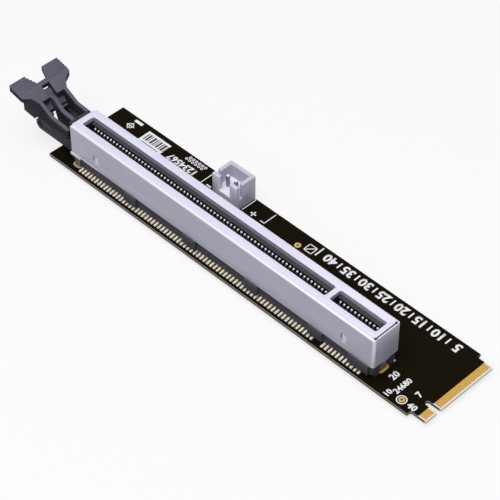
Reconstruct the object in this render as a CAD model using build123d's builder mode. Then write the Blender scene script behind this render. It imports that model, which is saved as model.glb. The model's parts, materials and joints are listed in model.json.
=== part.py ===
"""Adapter card: a long edge slot with a latch and a power header on a gumstick edge card.

Frame: millimetres, +X out of the card's edge, +Z up, origin at the middle of the edge's end face.
"""
import os

from build123d import *

os.makedirs("parts", exist_ok=True)

# Circuit board
BOARD_LENGTH = 110.0
BOARD_WIDTH = 22.0
BOARD_THICKNESS = 0.8
TAB_STEP = 1.075
TAB_LENGTH = 4.0
TAB_CORNER_RADIUS = 0.5
BEVEL_LENGTH = 0.4
BEVEL_DEPTH = 0.2
KEY_NOTCH_Y = -6.125
KEY_NOTCH_WIDTH = 1.2
KEY_NOTCH_DEPTH = 3.5
SCREW_NOTCH_RADIUS = 1.75
SCREW_RING_WIDTH = 1.0
COPPER = 0.04

# Gold fingers on the card's edge
FINGER_PITCH = 0.5
FINGER_WIDTH = 0.35
FINGER_LENGTH = 1.6
FINGER_INSET = 0.4
FINGER_KEY_CLEARANCE = 0.525
FINGER_SIDE_MARGIN = 0.5

# Edge slot: contacts and their solder pads, measured from the board's two ends and near edge
SLOT_INSET = 9.15
SLOT_END_SPACE = 17.8
SLOT_SIDE_INSET = 5.3
CONTACT_PITCH = 1.0
SHORT_COUNT = 11
KEY_STEP = 3.0
CONTACT_WIDTH = 0.42
CONTACT_THICKNESS = 0.18
CONTACT_REACH = 4.5
CONTACT_TOE = 0.6
CONTACT_RISE = 0.45
CONTACT_STEM = 1.95
CONTACT_TIP = 0.5
CONTACT_TIP_HEIGHT = 8.75
CONTACT_LIP = 0.45
PAD_WIDTH = 0.6
PAD_LENGTH = 1.6
PAD_MARGIN = 0.1

# Slot housing
MOUTH_WIDTH = 3.4
MOUTH_DEPTH = 0.7
CARD_GAP = 2.1
LIP_DEPTH = 1.5
CHAMBER_WIDTH = 4.6
FLOOR_HEIGHT = 2.4
WELL_LEFT_GAP = 1.35
WELL_RIGHT_GAP = 1.65
KEY_RIB = 1.2
STEM_SLIT = 0.7
RUN_CLEARANCE = 0.1
HOUSING_CORNER = 0.9
HOUSING_EDGE = 0.35
PEG_SIZE = 1.1
PEG_OFFSET = 2.2
BUMP_FIRST = 15.85
BUMP_PITCH = 18.3
BUMP_LENGTH = 3.8
BUMP_REACH = 0.6
END_BUMP_LENGTH = 5.3
BUMP_GAP = 0.05
LEG_RECESS_GAP = 0.3

# Sheet metal shell over the slot
SHEET = 0.3
SHELL_WIDTH = 7.74
SHELL_TOP = 11.25
SHELL_EDGE = 3.3
SHELL_LEFT_GAP = 2.9
SHELL_RIGHT_GAP = 3.35
SHELL_BEND = 0.5
SHELL_CORNER = 0.8
SHELL_CLIP = 0.7
OPENING_CORNER = 0.45
SLIT_WIDTH = 0.35
SLIT_RELIEF = 0.4
TAB_PROUD = 0.5
SHELL_TAB_LENGTH = 3.1
SHELL_TAB_DROP = 0.65
SIDE_LEG_WIDTH = 1.4
SIDE_LEG_STEP = 0.5
END_LEG_WIDTH = 2.0
END_LEG_STEP = 0.7
LANCE_LENGTH = 1.4
LANCE_HEIGHT = 2.4
LANCE_REACH = 0.16
LANCE_DROP = 5.35
LANCE_LEFT = 7.85
LANCE_RIGHT = 8.0

# Fork beyond the slot's end, in which the latch turns
TOWER_LENGTH = 1.6
TOWER_WIDTH = 5.6
TOWER_DROP = 0.5
FORK_WIDTH = 7.5
FORK_WALL = 0.9
FORK_HEIGHT = 3.0
FORK_LIFT = 0.2
FORK_CORNER = 0.9
FORK_FLOOR_LENGTH = 2.4
FORK_FLOOR = 1.0
PIVOT_DISTANCE = 10.35
PIVOT_PIN_RADIUS = 0.75
PIVOT_CLEARANCE = 0.05

# Latch lever, measured from its pivot
LATCH_WIDTH = 7.9
LATCH_PLATE = 0.85
LATCH_LIFT = 0.25
LATCH_GAP = 2.1
LATCH_RIB = 1.0
EAR_RADIUS = 1.35
EAR_THICKNESS = 0.75
EAR_SIDE_GAP = 0.2
WING_SPAN = 13.84
WING_CLEFT = 5.1
WING_THICKNESS = 1.15
WING_REACH = 6.2
WING_HEIGHT = 9.15
PAD_INNER = 2.0
PAD_DROP = 0.95
LIP_X = 0.5
LIP_HEIGHT = 6.45
ARM_BEND_X = 4.1
ARM_BEND_HEIGHT = 4.4
ARM_END_X = 9.45
ARM_END_HEIGHT = 4.0
PLATE_BACK = 5.3
PLATE_BACK_DROP = 0.65
PLATE_HEEL_DROP = 1.1
STEP_FRONT = 1.5
HOOK_START = (1.1, 6.0)
HOOK_BEND = (3.5, 3.8)
HOOK_NOSE = (8.1, 3.2)
HOOK_NOSE_DEPTH = 1.0
HOOK_HEEL = (2.2, 0.1)
HOOK_ROOT = 2.9
WEB_TOP = (-1.85, 6.5)
WEB_FOOT = (1.0, 3.3)
WEB_THICKNESS = 0.9
WING_ROOT = 1.8
WING_TAPER = 0.9
WING_CORNER = 0.6
BAR_BACK = 3.2
BAR_FRONT = 2.1
BAR_HALF = 1.4
PIN_END_GAP = 0.15
GRIP_COUNT = 5
GRIP_PITCH = 0.75
GRIP_WIDTH = 0.5
GRIP_RISE = 0.28

# Power header
HEADER_INSET = 38.65
HEADER_WIDTH = 7.4
HEADER_DEPTH = 5.75
HEADER_HEIGHT = 6.5
HEADER_WALL = 0.9
HEADER_FLOOR = 2.75
HEADER_FRONT_GAP = 3.2
HEADER_SIDE_SLOT = 0.9
PIN_PITCH = 2.5
PIN_SIZE = 0.64
PIN_TOP = 5.9
PIN_INSET = 2.35
PIN_TIP = 0.15

# What passes through the board
TAIL_LENGTH = 1.0
HOLE_CLEARANCE = 0.12
RING_WIDTH = 0.45
SOLDER_HEIGHT = 0.7
SOLDER_TAPER = 30.0

# Bare round test pads: distance from the edge's end, side, inset from that side's edge, radius
TEST_PADS = ((51.3, 1, 3.8, 0.75), (7.1, -1, 1.9, 0.7))

# Board planes
TOP = BOARD_THICKNESS / 2
UNDER = -TOP
TAIL_END = UNDER - TAIL_LENGTH
NEAR_EDGE = -BOARD_WIDTH / 2
FAR_EDGE = BOARD_WIDTH / 2
TAB_WIDTH = BOARD_WIDTH - 2 * TAB_STEP

# Slot places along X and across Y
SLOT_Y = NEAR_EDGE + SLOT_SIDE_INSET
SLOT_MIDDLE = Plane.XZ.offset(-SLOT_Y)
LAST_X = SLOT_INSET - BOARD_LENGTH
SHORT_LENGTH = SHORT_COUNT * CONTACT_PITCH - CONTACT_PITCH
LONG_ROOM = BOARD_LENGTH - SLOT_INSET - SLOT_END_SPACE - KEY_STEP - SHORT_LENGTH
LONG_LENGTH = int(LONG_ROOM / CONTACT_PITCH) * CONTACT_PITCH
LONG_MIDDLE = LAST_X + LONG_LENGTH / 2
SHORT_MIDDLE = LAST_X + LONG_LENGTH + KEY_STEP + SHORT_LENGTH / 2
FIRST_X = SHORT_MIDDLE + SHORT_LENGTH / 2
KEY_X = LAST_X + LONG_LENGTH + KEY_STEP / 2
ROWS = {
    "long": (LONG_MIDDLE, LONG_LENGTH),
    "short": (SHORT_MIDDLE, SHORT_LENGTH),
}
WELLS = (
    (LAST_X - WELL_LEFT_GAP, KEY_X - KEY_RIB / 2),
    (KEY_X + KEY_RIB / 2, FIRST_X + WELL_RIGHT_GAP),
)

# Shell and housing faces
SHELL_LEFT = LAST_X - SHELL_LEFT_GAP
SHELL_RIGHT = FIRST_X + SHELL_RIGHT_GAP
SHELL_ROOF = TOP + SHELL_TOP
SHELL_RIM = TOP + SHELL_EDGE
HOUSING_WIDTH = SHELL_WIDTH - 2 * SHEET
HOUSING_TOP = SHELL_ROOF - SHEET
HOUSING_RIGHT = SHELL_RIGHT - SHEET
HOUSING_FLOOR = TOP + FLOOR_HEIGHT
HOUSING_BOTTOM = TOP + COPPER + CONTACT_THICKNESS + CONTACT_RISE + RUN_CLEARANCE
TOWER_LEFT = SHELL_LEFT - TOWER_LENGTH

# Fork and pivot
FORK_BOTTOM = SHELL_RIM + FORK_LIFT
FORK_TOP = FORK_BOTTOM + FORK_HEIGHT
PIVOT_X = SHELL_LEFT - PIVOT_DISTANCE
PIVOT_Z = FORK_BOTTOM + FORK_HEIGHT / 2
FORK_LEFT = PIVOT_X - FORK_HEIGHT / 2
LATCH_BOTTOM = FORK_HEIGHT / 2 + LATCH_LIFT

# Header pins and shell legs
HEADER_X = HEADER_INSET - BOARD_LENGTH
HEADER_FRONT = FAR_EDGE - HEADER_DEPTH
HEADER_Y = FAR_EDGE - HEADER_DEPTH / 2
PIN_Y = HEADER_FRONT + PIN_INSET
PIN_PLACES = ((HEADER_X - PIN_PITCH / 2, PIN_Y), (HEADER_X + PIN_PITCH / 2, PIN_Y))
PIN_HOLE_RADIUS = PIN_SIZE / 2 ** 0.5 + HOLE_CLEARANCE
LEG_X = SHELL_LEFT - TAB_PROUD + SHELL_TAB_LENGTH / 2
LEG_OFFSET = (SHELL_WIDTH - SHEET) / 2 - SIDE_LEG_STEP
SIDE_LEGS = ((LEG_X, SLOT_Y - LEG_OFFSET), (LEG_X, SLOT_Y + LEG_OFFSET))
END_LEG = (SHELL_RIGHT - SHEET / 2 - END_LEG_STEP, SLOT_Y)
LEG_HOLE_WIDTH = SHEET + 4 * HOLE_CLEARANCE


def write(piece, node):
    """Label a finished piece and write it as its own file."""
    piece.part.label = node
    export_step(piece.part, f"parts/{node}.step")


def leg_ovals():
    """Round-ended patches round the shell's three legs."""
    width = LEG_HOLE_WIDTH + 2 * RING_WIDTH
    with Locations(*SIDE_LEGS):
        SlotOverall(SIDE_LEG_WIDTH + 2 * (HOLE_CLEARANCE + RING_WIDTH), width)
    with Locations(END_LEG):
        SlotOverall(END_LEG_WIDTH + 2 * (HOLE_CLEARANCE + RING_WIDTH), width, rotation=90)


def cut_legs(clearance):
    """Openings in the sketch for the shell's three legs."""
    with Locations(*SIDE_LEGS):
        Rectangle(SIDE_LEG_WIDTH + 2 * clearance, SHEET + 2 * clearance, mode=Mode.SUBTRACT)
    with Locations(END_LEG):
        Rectangle(SHEET + 2 * clearance, END_LEG_WIDTH + 2 * clearance, mode=Mode.SUBTRACT)


def flat_copper(node, z, draw, copper=COPPER):
    """Write one thin layer of bare copper, drawn by draw on the board's face at z."""
    with BuildPart() as layer:
        with BuildSketch(Plane.XY.offset(z)):
            draw()
        extrude(amount=copper)
    write(layer, node)


# Circuit board: full width, narrower tab, key notch, screw notch and the holes
with BuildPart() as circuit_board:
    with BuildSketch(Plane.XY.offset(UNDER)) as board_outline:
        with Locations((-(BOARD_LENGTH + TAB_LENGTH) / 2, 0)):
            Rectangle(BOARD_LENGTH - TAB_LENGTH, BOARD_WIDTH)
        with Locations((-TAB_LENGTH / 2, 0)):
            Rectangle(TAB_LENGTH, TAB_WIDTH)
        steps = board_outline.vertices().filter_by(
            lambda v: abs(v.X + TAB_LENGTH) < 0.01 and abs(abs(v.Y) - TAB_WIDTH / 2) < 0.01
        )
        fillet(steps, TAB_CORNER_RADIUS)
        with Locations((0, KEY_NOTCH_Y)):
            SlotOverall(2 * KEY_NOTCH_DEPTH, KEY_NOTCH_WIDTH, mode=Mode.SUBTRACT)
        with Locations((-BOARD_LENGTH, 0)):
            Circle(SCREW_NOTCH_RADIUS, mode=Mode.SUBTRACT)
        with Locations(*PIN_PLACES):
            Circle(PIN_HOLE_RADIUS, mode=Mode.SUBTRACT)
        cut_legs(HOLE_CLEARANCE)
    extrude(amount=BOARD_THICKNESS)
    with BuildSketch(Plane.XZ):
        for face in (TOP, UNDER):
            with BuildLine():
                inner = face - face / TOP * BEVEL_DEPTH
                Polyline((0, face), (-BEVEL_LENGTH, face), (0, inner), close=True)
            make_face()
    extrude(amount=BOARD_WIDTH / 2, both=True, mode=Mode.SUBTRACT)
write(circuit_board, "circuit_board")


def finger_bank(inner_y, direction):
    """Edge fingers from inner_y outwards, as many as the tab has room for."""
    room = TAB_WIDTH / 2 - FINGER_SIDE_MARGIN - direction * inner_y
    count = int(room / FINGER_PITCH) + 1
    middle = inner_y + direction * (count - 1) * FINGER_PITCH / 2
    with Locations((-FINGER_INSET - FINGER_LENGTH / 2, middle)):
        with GridLocations(FINGER_PITCH, FINGER_PITCH, 1, count):
            Rectangle(FINGER_LENGTH, FINGER_WIDTH)


def fingers(plus_shift, minus_shift):
    """Both banks of fingers, either side of the key notch."""
    clear = KEY_NOTCH_WIDTH / 2 + FINGER_KEY_CLEARANCE
    finger_bank(KEY_NOTCH_Y + clear + plus_shift, 1)
    finger_bank(KEY_NOTCH_Y - clear - minus_shift, -1)


# Gold fingers: the rows on the two faces are half a pitch apart
flat_copper("edge_fingers_top", TOP, lambda: fingers(FINGER_PITCH / 2, 0))
flat_copper("edge_fingers_under", UNDER, lambda: fingers(0, FINGER_PITCH / 2), -COPPER)


def screw_ring():
    """Half ring of bare copper round the screw notch."""
    with Locations((-BOARD_LENGTH, 0)):
        Circle(SCREW_NOTCH_RADIUS + SCREW_RING_WIDTH)
        Circle(SCREW_NOTCH_RADIUS, mode=Mode.SUBTRACT)
    with Locations((-BOARD_LENGTH - BOARD_WIDTH / 2, 0)):
        Rectangle(BOARD_WIDTH, BOARD_WIDTH, mode=Mode.SUBTRACT)


def leg_rings():
    """Plated rings round the three holes of the shell's legs."""
    leg_ovals()
    cut_legs(HOLE_CLEARANCE)


def test_spots():
    """Round bare pads for a probe."""
    for distance, side, inset, radius in TEST_PADS:
        with Locations((-distance, side * (FAR_EDGE - inset))):
            Circle(radius)


flat_copper("screw_ring_top", TOP, screw_ring)
flat_copper("screw_ring_under", UNDER, screw_ring, -COPPER)
flat_copper("leg_rings", TOP, leg_rings)
flat_copper("test_pads", TOP, test_spots)


def bent_strip(line, thickness):
    """Closed outline of a strip of even thickness, mitred at the bends of its centre line."""
    points = [Vector(*point) for point in line]
    normals = []
    for start, end in zip(points, points[1:]):
        run = (end - start).normalized()
        normals.append(Vector(-run.Y, run.X))
    left, right = [], []
    for point, before, after in zip(points, normals[:1] + normals, normals + normals[-1:]):
        shift = (before + after) * (thickness / 2 / (1 + before.dot(after)))
        left.append(point + shift)
        right.insert(0, point - shift)
    return left + right


def contact_row(side, middle, length):
    """Sprung contacts of one run: a toe on its pad, a rise under the housing, a stem and a curled tip."""
    toe_z = TOP + COPPER + CONTACT_THICKNESS / 2
    tip_z = TOP + CONTACT_TIP_HEIGHT
    path = (
        (CONTACT_REACH, toe_z),
        (CONTACT_REACH - CONTACT_TOE, toe_z),
        (CONTACT_STEM, toe_z + CONTACT_RISE),
        (CONTACT_TIP, tip_z),
        (CONTACT_TIP + CONTACT_LIP, tip_z + CONTACT_LIP),
    )
    outline = [(SLOT_Y + side * point.X, point.Y) for point in bent_strip(path, CONTACT_THICKNESS)]
    first = middle - length / 2 - CONTACT_WIDTH / 2
    count = round(length / CONTACT_PITCH) + 1
    with BuildPart() as row:
        with BuildSketch(*[Plane.YZ.offset(first + i * CONTACT_PITCH) for i in range(count)]):
            with BuildLine():
                Polyline(*outline, close=True)
            make_face()
        extrude(amount=CONTACT_WIDTH)
    return row


def pad_row(side, middle, length):
    """Solder pads under the toes of one run of contacts."""
    outer = CONTACT_REACH + PAD_MARGIN
    with Locations((middle, SLOT_Y + side * (outer - PAD_LENGTH / 2))):
        with GridLocations(CONTACT_PITCH, CONTACT_PITCH, round(length / CONTACT_PITCH) + 1, 1):
            Rectangle(PAD_WIDTH, PAD_LENGTH)


# Contacts and pads: a long and a short run on each side of the slot
for run, (middle, length) in ROWS.items():
    for side_name, side in (("near", -1), ("far", 1)):
        write(contact_row(side, middle, length), f"slot_contacts_{side_name}_{run}")
        flat_copper(f"contact_pads_{side_name}_{run}", TOP, lambda: pad_row(side, middle, length))


def across_slot(*widths):
    """Y of points at the given distances from the slot's middle."""
    return [SLOT_Y + width for width in widths]


# Slot housing: body, wells for the card, slits for the contact stems, feet and the latch's fork
with BuildPart() as slot_housing:
    with BuildSketch(Plane.XY.offset(HOUSING_BOTTOM)) as footprint:
        with Locations(((SHELL_LEFT + HOUSING_RIGHT) / 2, SLOT_Y)):
            Rectangle(HOUSING_RIGHT - SHELL_LEFT, HOUSING_WIDTH)
        fillet(footprint.vertices().group_by(Axis.X)[-1], HOUSING_CORNER)
    extrude(amount=HOUSING_TOP - HOUSING_BOTTOM)
    long_edges = slot_housing.edges().group_by(Axis.Z)[-1].filter_by(Axis.X)
    chamfer(long_edges, HOUSING_EDGE)
    with BuildSketch(Plane.XY.offset(HOUSING_BOTTOM)):
        with Locations(((TOWER_LEFT + SHELL_LEFT) / 2, SLOT_Y)):
            Rectangle(TOWER_LENGTH, TOWER_WIDTH)
    extrude(amount=HOUSING_TOP - TOWER_DROP - HOUSING_BOTTOM)

    # Pegs at both ends stand on the board, bumps on both sides carry the shell's rim
    peg_ends = (TOWER_LEFT + PEG_SIZE / 2, HOUSING_RIGHT - PEG_SIZE / 2)
    with BuildSketch(Plane.XY.offset(TOP)):
        with Locations(*[(x, y) for x in peg_ends for y in across_slot(-PEG_OFFSET, PEG_OFFSET)]):
            Rectangle(PEG_SIZE, PEG_SIZE)
    extrude(amount=HOUSING_BOTTOM - TOP)
    bump_height = SHELL_RIM - BUMP_GAP - HOUSING_BOTTOM
    bump_room = FIRST_X - LAST_X - BUMP_FIRST
    with BuildSketch(Plane.XY.offset(HOUSING_BOTTOM)):
        for i in range(int(bump_room / BUMP_PITCH) + 1):
            with Locations((LAST_X + BUMP_FIRST + i * BUMP_PITCH, SLOT_Y)):
                Rectangle(BUMP_LENGTH, HOUSING_WIDTH + 2 * BUMP_REACH)
        with Locations((HOUSING_RIGHT - END_BUMP_LENGTH / 2 - HOUSING_CORNER, SLOT_Y)):
            Rectangle(END_BUMP_LENGTH, HOUSING_WIDTH + 2 * BUMP_REACH)
    extrude(amount=bump_height)

    # Recesses for the shell's stepped legs
    recess_left = END_LEG[0] - SHEET / 2 - LEG_RECESS_GAP
    side_recess = LEG_X + SIDE_LEG_WIDTH / 2 + LEG_RECESS_GAP - SHELL_LEFT
    recess_inner = LEG_OFFSET - SHEET / 2 - LEG_RECESS_GAP
    recess_middle = (recess_inner + HOUSING_WIDTH / 2) / 2
    with BuildSketch(Plane.XY.offset(HOUSING_BOTTOM)):
        with Locations(((recess_left + HOUSING_RIGHT) / 2, SLOT_Y)):
            Rectangle(HOUSING_RIGHT - recess_left, END_LEG_WIDTH + 2 * LEG_RECESS_GAP)
        with Locations(*[(SHELL_LEFT + side_recess / 2, y) for y in across_slot(-recess_middle, recess_middle)]):
            Rectangle(side_recess, HOUSING_WIDTH / 2 - recess_inner)
    extrude(amount=SHELL_RIM + LEG_RECESS_GAP - HOUSING_BOTTOM, mode=Mode.SUBTRACT)

    # Fork: two walls with clipped noses, joined by a short floor beside the slot's end
    for side in (-1, 1):
        wall_face = SLOT_Y + side * FORK_WIDTH / 2
        with BuildSketch(Plane.XZ.offset(-wall_face)) as wall:
            with Locations(((FORK_LEFT + SHELL_LEFT) / 2, PIVOT_Z)):
                Rectangle(SHELL_LEFT - FORK_LEFT, FORK_HEIGHT)
            chamfer(wall.vertices().group_by(Axis.X)[0], FORK_CORNER)
        extrude(amount=side * FORK_WALL)
    with BuildSketch(Plane.XY.offset(FORK_BOTTOM)):
        with Locations((TOWER_LEFT - FORK_FLOOR_LENGTH / 2, SLOT_Y)):
            Rectangle(FORK_FLOOR_LENGTH, FORK_WIDTH - FORK_WALL)
    extrude(amount=FORK_FLOOR)
    with BuildSketch(Plane.XZ.offset(-SLOT_Y)):
        with Locations((PIVOT_X, PIVOT_Z)):
            Circle(PIVOT_PIN_RADIUS + PIVOT_CLEARANCE)
    extrude(amount=FORK_WIDTH, both=True, mode=Mode.SUBTRACT)

    # Wells: a wide mouth, a chamfered lip and the chambers behind it
    for left, right in WELLS:
        with BuildSketch(Plane.YZ.offset(left)):
            with BuildLine():
                half = (
                    (0, HOUSING_FLOOR),
                    (CHAMBER_WIDTH / 2, HOUSING_FLOOR),
                    (CHAMBER_WIDTH / 2, HOUSING_TOP - LIP_DEPTH),
                    (CARD_GAP / 2, HOUSING_TOP - LIP_DEPTH),
                    (CARD_GAP / 2, HOUSING_TOP - MOUTH_DEPTH - (MOUTH_WIDTH - CARD_GAP) / 2),
                    (MOUTH_WIDTH / 2, HOUSING_TOP - MOUTH_DEPTH),
                    (MOUTH_WIDTH / 2, HOUSING_TOP),
                    (0, HOUSING_TOP),
                )
                Polyline(*[(SLOT_Y + across, up) for across, up in half], close=True)
            make_face()
            mirror(about=Plane.YZ.offset(SLOT_Y))
        extrude(amount=right - left, mode=Mode.SUBTRACT)
    slit_middle = CONTACT_STEM - STEM_SLIT / 4
    with BuildSketch(Plane.XY.offset(HOUSING_BOTTOM)):
        for middle, length in ROWS.values():
            with Locations(*[(middle, y) for y in across_slot(-slit_middle, slit_middle)]):
                Rectangle(length + CONTACT_PITCH, STEM_SLIT)
    extrude(amount=HOUSING_FLOOR - HOUSING_BOTTOM, mode=Mode.SUBTRACT)
write(slot_housing, "slot_housing")


def rounded_case(inset, left):
    """The shell's outside, or its inside when inset by the sheet, starting at left."""
    roof = SHELL_ROOF - inset
    width = SHELL_WIDTH - 2 * inset
    length = SHELL_RIGHT - inset - left
    with BuildPart() as case:
        with BuildSketch(Plane.YZ.offset(left)) as section:
            with Locations((SLOT_Y, (SHELL_RIM + roof) / 2)):
                Rectangle(width, roof - SHELL_RIM)
            fillet(section.vertices().group_by(Axis.Y)[-1], SHELL_BEND - inset)
        extrude(amount=length)
        with BuildSketch(Plane.XY.offset(SHELL_RIM)) as plan:
            with Locations((left + length / 2, SLOT_Y)):
                Rectangle(length, width)
            fillet(plan.vertices().group_by(Axis.X)[-1], SHELL_CORNER - inset)
        extrude(amount=roof - SHELL_RIM, mode=Mode.INTERSECT)
    return case.part


# Shell: folded sheet over the housing, open underneath and at the latch end
with BuildPart() as slot_shell:
    add(rounded_case(0, SHELL_LEFT))
    add(rounded_case(SHEET, SHELL_LEFT - SHEET), mode=Mode.SUBTRACT)

    # Roof: the two card openings, the slit beside the end wall and the clipped corners
    slit_x = SHELL_RIGHT - SHEET - SLIT_WIDTH / 2
    slit_end = SHELL_WIDTH / 2 - SHELL_CORNER
    with BuildSketch(Plane.XY.offset(HOUSING_TOP)):
        for left, right in WELLS:
            with Locations(((left + right) / 2, SLOT_Y)):
                RectangleRounded(right - left, MOUTH_WIDTH, OPENING_CORNER)
        with Locations((slit_x, SLOT_Y)):
            Rectangle(SLIT_WIDTH, 2 * slit_end)
        with Locations(*[(slit_x, y) for y in across_slot(-slit_end, slit_end)]):
            Circle(SLIT_RELIEF)
        with Locations(*[(SHELL_LEFT, y) for y in across_slot(-SHELL_WIDTH / 2, SHELL_WIDTH / 2)]):
            Rectangle(SHELL_CLIP * 2 ** 0.5, SHELL_CLIP * 2 ** 0.5, rotation=45)
    extrude(amount=SHEET, mode=Mode.SUBTRACT)

    # Legs: a short tab and a narrower stepped leg on each side, one stepped leg on the end wall
    tab_bottom = SHELL_RIM - SHELL_TAB_DROP
    for side in (-1, 1):
        with BuildSketch(Plane.XZ.offset(-(SLOT_Y + side * SHELL_WIDTH / 2))):
            with Locations((LEG_X, SHELL_RIM - SHELL_TAB_DROP / 2)):
                Rectangle(SHELL_TAB_LENGTH, SHELL_TAB_DROP)
            with Locations((LEG_X + TAB_PROUD / 2, SHELL_RIM + TAB_PROUD / 2)):
                Rectangle(SHELL_TAB_LENGTH - TAB_PROUD, TAB_PROUD)
        extrude(amount=side * SHEET)
        step_y = SLOT_Y + side * (SHELL_WIDTH - SHEET - SIDE_LEG_STEP) / 2
        with Locations((LEG_X, step_y, tab_bottom + SHEET / 2)):
            Box(SIDE_LEG_WIDTH, SHEET + SIDE_LEG_STEP, SHEET)
        with Locations((LEG_X, SLOT_Y + side * LEG_OFFSET, (tab_bottom + TAIL_END) / 2)):
            Box(SIDE_LEG_WIDTH, SHEET, tab_bottom - TAIL_END)
    with BuildSketch(Plane.YZ.offset(END_LEG[0] - SHEET / 2)):
        with Locations((SLOT_Y, (SHELL_RIM + TAIL_END) / 2)):
            Rectangle(END_LEG_WIDTH, SHELL_RIM - TAIL_END)
    extrude(amount=SHEET)
    with Locations((SHELL_RIGHT - (SHEET + END_LEG_STEP) / 2, SLOT_Y, SHELL_RIM - SHEET / 2)):
        Box(SHEET + END_LEG_STEP, END_LEG_WIDTH, SHEET)

    # Lances: small wedges pressed out of both side walls
    for lance_x in (SHELL_LEFT + LANCE_LEFT, SHELL_RIGHT - LANCE_RIGHT):
        lance_top = SHELL_ROOF - LANCE_DROP + LANCE_HEIGHT / 2
        with BuildSketch(Plane.YZ.offset(lance_x - LANCE_LENGTH / 2)):
            with BuildLine():
                Polyline(
                    (SLOT_Y + SHELL_WIDTH / 2 - SHEET / 2, lance_top),
                    (SLOT_Y + SHELL_WIDTH / 2 + LANCE_REACH, lance_top - LANCE_HEIGHT),
                    (SLOT_Y + SHELL_WIDTH / 2 - SHEET / 2, lance_top - LANCE_HEIGHT),
                    close=True,
                )
            make_face()
            mirror(about=Plane.YZ.offset(SLOT_Y))
        extrude(amount=LANCE_LENGTH)
write(slot_shell, "slot_shell")


def twin_slabs(points, outer, thickness):
    """The same side profile, drawn from the pivot, on both sides of the slot's middle."""
    with BuildPart() as slabs:
        for side in (-1, 1):
            with BuildSketch(Plane.XZ.offset(-(SLOT_Y + side * outer))):
                with BuildLine():
                    Polyline(*[(PIVOT_X + along, PIVOT_Z + up) for along, up in points], close=True)
                make_face()
            extrude(amount=side * thickness)
    return slabs.part


def wings():
    """Finger wings: a bent plate cut to its outline, joined by a bar between two clefts."""
    bend = (-PAD_INNER, WING_HEIGHT - PAD_DROP)
    lip = (LIP_X, LIP_HEIGHT)
    slope = PAD_DROP / (WING_REACH - PAD_INNER)
    ridges = []
    for i in range(GRIP_COUNT):
        for step, rise in ((0, 0), (GRIP_WIDTH / 2, GRIP_RISE), (GRIP_WIDTH, 0)):
            along = i * GRIP_PITCH + step
            ridges.append((along - WING_REACH, WING_HEIGHT - along * slope + rise))
    under = [(along, up - WING_THICKNESS) for along, up in (lip, bend, (-WING_REACH, WING_HEIGHT))]
    band = [*ridges, bend, lip, *under]
    outline = (
        (-WING_REACH, WING_CLEFT / 2),
        (-WING_REACH, WING_SPAN / 2),
        (-WING_ROOT, WING_SPAN / 2),
        (-WING_ROOT + WING_TAPER, LATCH_WIDTH / 2 + WING_TAPER),
        (LIP_X, LATCH_WIDTH / 2),
        (LIP_X, LATCH_GAP / 2),
        (-BAR_FRONT, LATCH_GAP / 2),
        (-BAR_FRONT, 0),
        (-BAR_BACK, 0),
        (-BAR_BACK, BAR_HALF),
    )
    with BuildPart() as plate:
        with BuildSketch(SLOT_MIDDLE):
            with BuildLine():
                Polyline(*[(PIVOT_X + along, PIVOT_Z + up) for along, up in band], close=True)
            make_face()
        extrude(amount=WING_SPAN / 2, both=True)
        with BuildSketch(Plane.XY.offset(PIVOT_Z)) as plan:
            with BuildLine():
                Polyline(*[(PIVOT_X + along, SLOT_Y + across) for along, across in outline], close=True)
            make_face()
            mirror(about=Plane.XZ.offset(-SLOT_Y))
            corners = plan.vertices().filter_by(
                lambda v: abs(abs(v.Y - SLOT_Y) - WING_SPAN / 2) < 0.01
            )
            fillet(corners, WING_CORNER)
        extrude(amount=WING_HEIGHT + GRIP_RISE, mode=Mode.INTERSECT)
    return plate.part


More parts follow.
